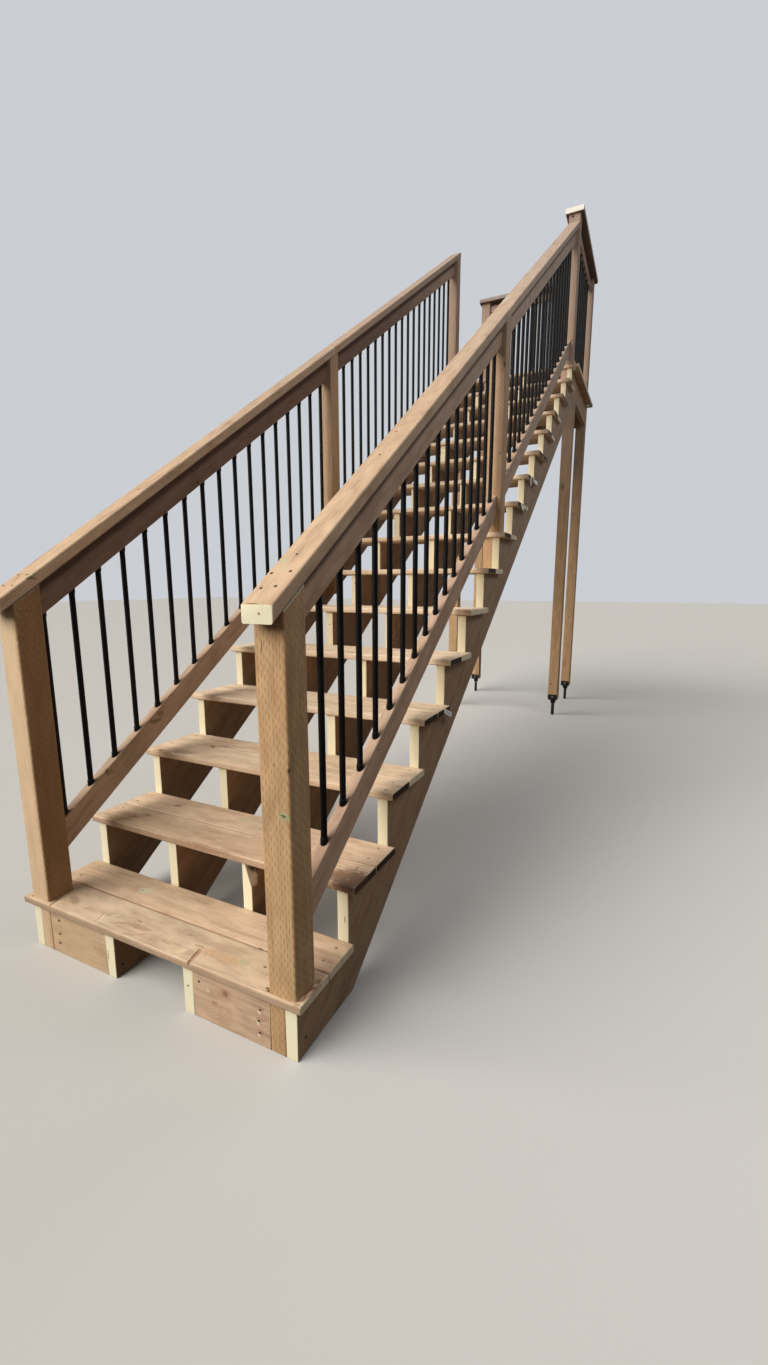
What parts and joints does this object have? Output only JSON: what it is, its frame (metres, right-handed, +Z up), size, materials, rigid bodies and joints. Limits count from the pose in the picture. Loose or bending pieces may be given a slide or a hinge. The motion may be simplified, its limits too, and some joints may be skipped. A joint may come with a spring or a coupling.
{
  "type": "wooden deck stairs",
  "caption": "Long straight wooden deck stair with open risers on notched stringers, pitched railings with round dark balusters, and a small guarded landing on tall posts.",
  "frame": {"origin": "on the ground, at the middle of the box round the whole stair, in width and in length", "axes": "+Y level and up the flight, towards the landing; +X to the right when climbing; +Z up"},
  "size_m": [1.157, 5.2596, 4.1875],
  "materials": {
    "stringer_board": "brown stained softwood with pale fresh cuts",
    "tread_board": "tan treated softwood, dry and slightly weathered",
    "treated_post": "tan treated softwood with fine incising marks",
    "cap_board": "pale treated softwood with greenish patches",
    "rail_board": "brown treated softwood",
    "black_baluster": "black powder coat with a low sheen",
    "black_steel": "black coated steel"
  },
  "bodies": {
    "root": {"stringer_outer_left": "stringer_board", "stringer_inner_left": "stringer_board", "stringer_inner_right": "stringer_board", "stringer_outer_right": "stringer_board", "tread_01": "tread_board", "tread_02": "tread_board", "tread_03": "tread_board", "tread_04": "tread_board", "tread_05": "tread_board", "tread_06": "tread_board", "tread_07": "tread_board", "tread_08": "tread_board", "tread_09": "tread_board", "tread_10": "tread_board", "tread_11": "tread_board", "tread_12": "tread_board", "tread_13": "tread_board", "tread_14": "tread_board", "tread_15": "tread_board", "bottom_blocks": "tread_board", "bottom_posts": "treated_post", "middle_posts": "treated_post", "top_post_left": "treated_post", "top_post_right": "treated_post", "back_posts": "treated_post", "stair_cap_left": "cap_board", "stair_cap_right": "cap_board", "stair_sub_rail_left": "rail_board", "stair_sub_rail_right": "rail_board", "stair_bottom_rail_left": "rail_board", "stair_bottom_rail_right": "rail_board", "stair_balusters_left": "black_baluster", "stair_balusters_right": "black_baluster", "landing_front_rim": "stringer_board", "landing_back_rim": "stringer_board", "landing_side_rims": "stringer_board", "landing_joists": "stringer_board", "landing_deck": "tread_board", "support_posts": "treated_post", "post_bases": "black_steel", "guard_cap_side": "cap_board", "guard_cap_back": "cap_board", "guard_sub_rails": "rail_board", "guard_bottom_rails": "rail_board", "guard_balusters": "black_baluster"}
  },
  "joints": []
}
